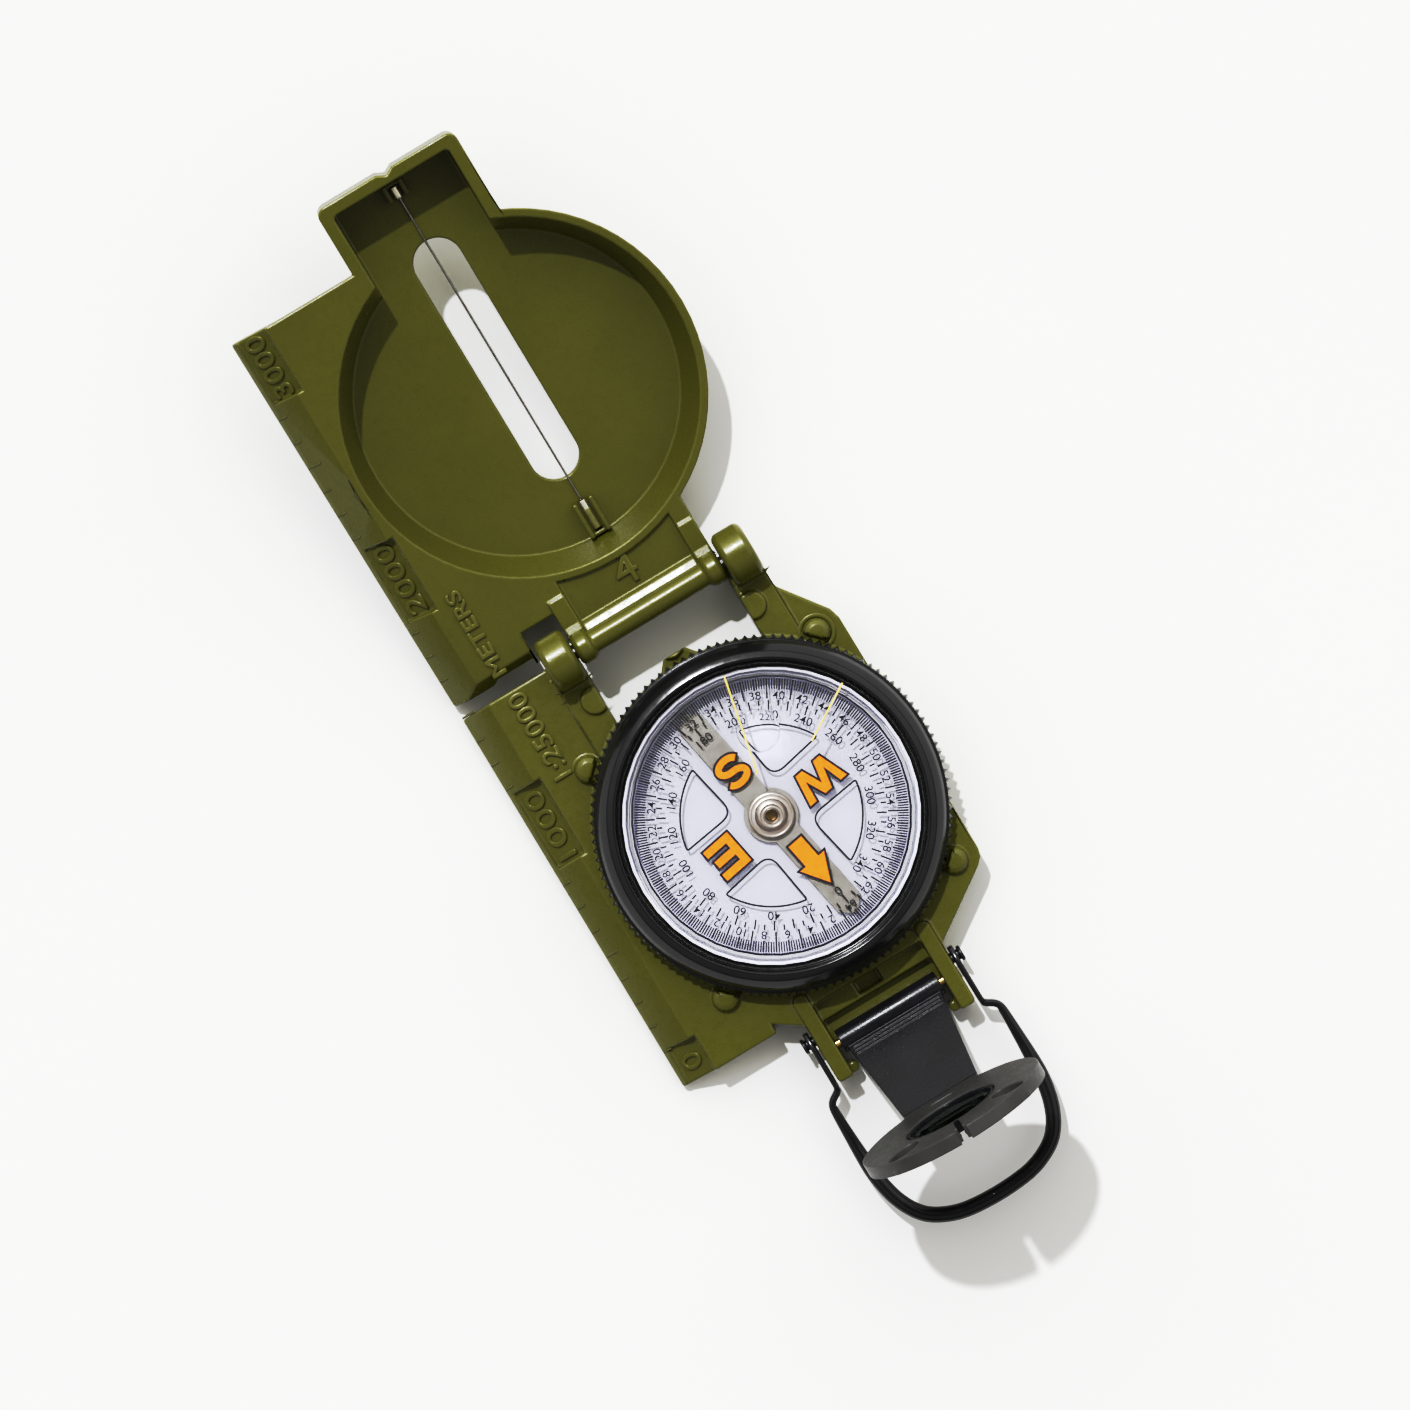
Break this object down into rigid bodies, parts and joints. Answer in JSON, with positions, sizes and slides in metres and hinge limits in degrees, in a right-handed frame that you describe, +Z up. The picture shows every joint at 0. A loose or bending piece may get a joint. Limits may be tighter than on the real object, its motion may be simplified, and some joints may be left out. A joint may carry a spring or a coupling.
{
  "type": "folding sighting compass",
  "caption": "Folding lensatic sighting compass with hinged slotted cover and sight wire, turning bezel, floating dial, folding lens eyepiece, thumb loop and map ruler edge.",
  "frame": {"origin": "on the flat underside of the case, below the centre of the dial", "axes": "+Z up through the dial, +Y towards the cover hinge, -X towards the ruler edge"},
  "size_m": [0.0578, 0.1713, 0.043],
  "materials": {
    "olive_paint": "semi-gloss olive paint on die-cast metal",
    "black_bezel": "glossy black enamel",
    "black_satin": "satin black coating",
    "bright_steel": "bright turned steel",
    "magnet_grey": "dull grey-beige magnet steel",
    "brass": "plain",
    "white_plastic": "smooth white",
    "dial_print": "black and orange print on a clear dial",
    "clear": "polished clear",
    "seal_rubber": "matte",
    "yellow_mark": "luminous yellow"
  },
  "bodies": {
    "base": {"base_frame": "olive_paint", "base_bottom_plate": "black_satin", "plate_screw_1": "bright_steel", "plate_screw_2": "bright_steel", "plate_screw_3": "bright_steel", "plate_screw_4": "bright_steel", "hinge_pin_right": "black_satin", "hinge_pin_left": "black_satin", "bezel_clip_ring": "bright_steel", "detent_spring": "bright_steel", "capsule_cup": "white_plastic", "dial_backing": "white_plastic", "capsule_gasket": "seal_rubber", "capsule_window": "clear", "pivot_post": "bright_steel", "loop_rivet_right": "black_satin", "loop_rivet_left": "black_satin", "eyepiece_pin": "brass"},
    "dial": {"dial_card": "dial_print", "magnet_bar": "magnet_grey", "dial_hub": "bright_steel", "hub_jewel": "brass"},
    "bezel": {"bezel_ring": "black_bezel", "bezel_glass": "clear", "index_line_long": "yellow_mark", "index_line_short": "yellow_mark"},
    "cover": {"cover_lid": "olive_paint", "wire_post_lower": "olive_paint", "wire_post_upper": "olive_paint", "sighting_wire": "bright_steel"},
    "eyepiece": {"eyepiece_bracket": "black_satin", "lens_ring": "black_satin", "eyepiece_lens": "clear"},
    "loop": {"thumb_loop": "black_satin"}
  },
  "joints": [
    {"name": "cover_hinge", "type": "hinge", "parent": "base", "child": "cover", "pos_m": [0, 0.0343, 0.00865], "axis": [1, 0, 0], "range_deg": [-12, 168]},
    {"name": "eyepiece_fold", "type": "hinge", "parent": "base", "child": "eyepiece", "pos_m": [0, -0.033, 0.0043], "axis": [1, 0, 0], "range_deg": [-98.4, 7.2]},
    {"name": "loop_swing", "type": "hinge", "parent": "base", "child": "loop", "pos_m": [0, -0.031, 0.0042], "axis": [1, 0, 0], "range_deg": [-30, 90]},
    {"name": "bezel_turn", "type": "hinge", "parent": "base", "child": "bezel", "pos_m": [0, 0, 0.01], "axis": [0, 0, 1], "continuous": true},
    {"name": "dial_turn", "type": "hinge", "parent": "base", "child": "dial", "pos_m": [0, 0, 0.0068], "axis": [0, 0, 1], "continuous": true}
  ],
  "couplings": [
    {"joint": "eyepiece_fold", "follows": "cover_hinge", "ratio": -0.585}
  ]
}
